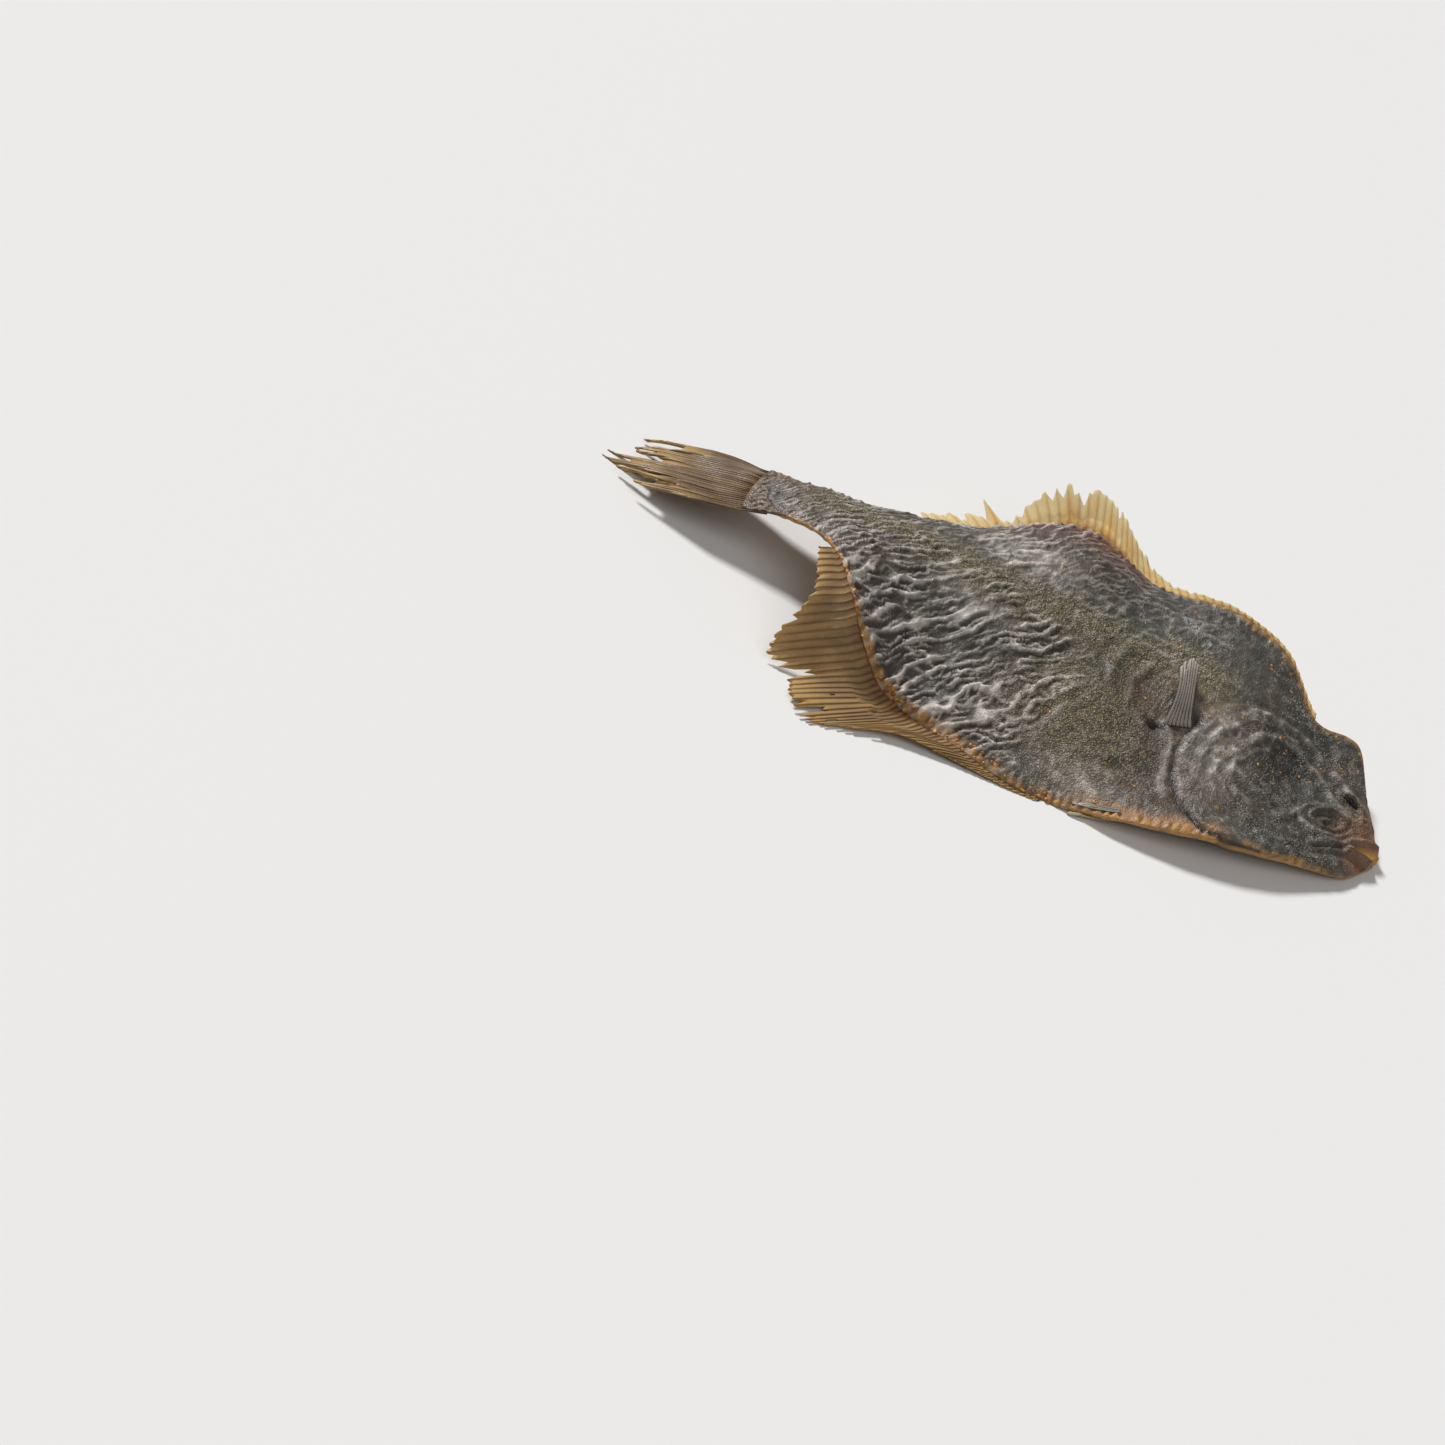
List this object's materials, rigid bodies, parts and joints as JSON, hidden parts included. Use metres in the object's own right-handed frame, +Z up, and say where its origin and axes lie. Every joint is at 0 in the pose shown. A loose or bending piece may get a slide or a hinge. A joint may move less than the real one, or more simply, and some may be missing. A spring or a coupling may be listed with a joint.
{
  "type": "dried plaice",
  "caption": "Whole dried plaice lying eyed side up, dark wrinkled skin, warped body, amber fin fans, folded tail, sunken eyes.",
  "frame": {"origin": "centre of the fish's box, on the surface that it rests on", "axes": "+X to the snout, +Y to the back fin, +Z up, away from the surface"},
  "size_m": [0.2711, 0.1372, 0.0395],
  "materials": {
    "skin": "semi-gloss dried skin, slate grey and brown",
    "fin": "translucent amber, ribbed by rays",
    "dark_fin": "semi-gloss, ribbed by rays",
    "eye": "gloss, shrunken"
  },
  "bodies": {
    "root": {"body": "skin", "tail_fin": "fin", "dorsal_fin": "fin", "anal_fin": "fin", "pectoral_fin": "dark_fin", "blind_side_pectoral_fin": "dark_fin", "pelvic_fin": "dark_fin", "blind_side_pelvic_fin": "dark_fin", "lower_eye": "eye", "upper_eye": "eye"}
  },
  "joints": []
}
